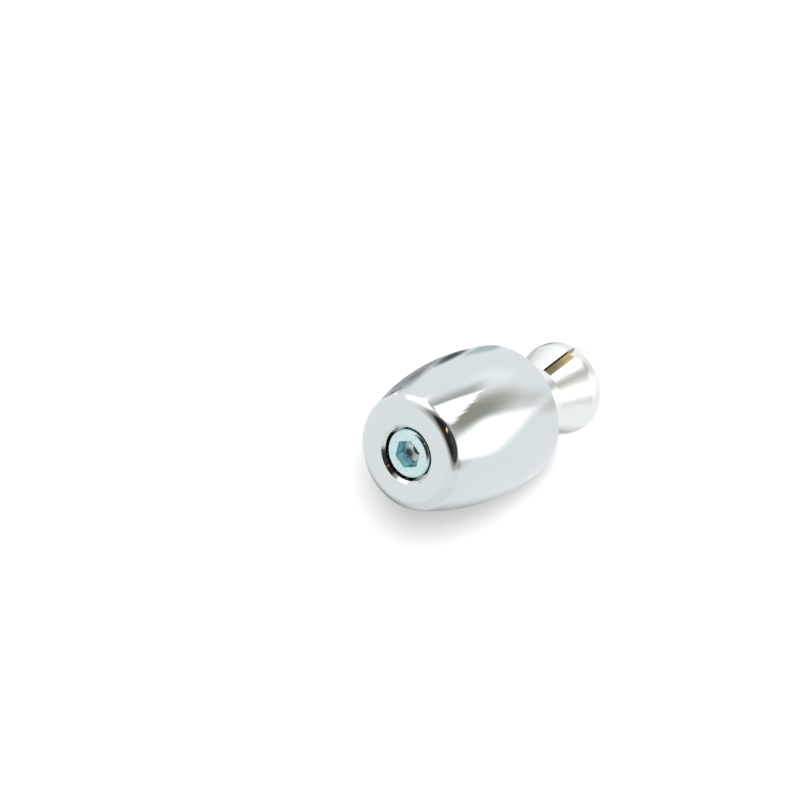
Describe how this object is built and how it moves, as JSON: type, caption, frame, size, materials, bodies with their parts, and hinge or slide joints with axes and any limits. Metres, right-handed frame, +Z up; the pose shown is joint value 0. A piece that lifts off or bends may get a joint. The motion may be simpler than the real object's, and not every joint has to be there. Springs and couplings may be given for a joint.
{
  "type": "bar end weight",
  "caption": "Barrel-shaped weight for the open end of a motorbike handlebar, with a socket screw that draws a wedge nut into a split flared expander sleeve.",
  "frame": {"origin": "centre of the expander sleeve's rim, on the surface that the part stands on", "axes": "+Z up along the axis of the screw, from the rim to the outboard face; the saw cut in the sleeve lies 54 degrees from +X towards -Y"},
  "size_m": [0.0298, 0.0298, 0.0529],
  "materials": {
    "weight_chrome": "mirror-bright chrome plate with a faint blue tint on polished steel",
    "blue_zinc": "blue zinc plate, teal in the deep socket",
    "sleeve_aluminium": "near-white satin turned aluminium",
    "yellow_zinc": "yellow zinc plate, gold with green and pink bloom"
  },
  "bodies": {
    "weight": {"weight": "weight_chrome", "expander_sleeve": "sleeve_aluminium"},
    "screw": {"cap_screw": "blue_zinc"},
    "nut": {"wedge_nut": "yellow_zinc"}
  },
  "joints": [
    {"name": "screw_turn", "type": "hinge", "parent": "weight", "child": "screw", "pos_m": [0, 0, 0.0465], "axis": [0, 0, 1], "range_deg": [0, 720]},
    {"name": "nut_draw", "type": "slide", "parent": "weight", "child": "nut", "axis": [0, 0, -1], "range_m": [0, 0.002]}
  ],
  "couplings": [
    {"joint": "nut_draw", "follows": "screw_turn", "m_per_rad": 0.00015915}
  ]
}
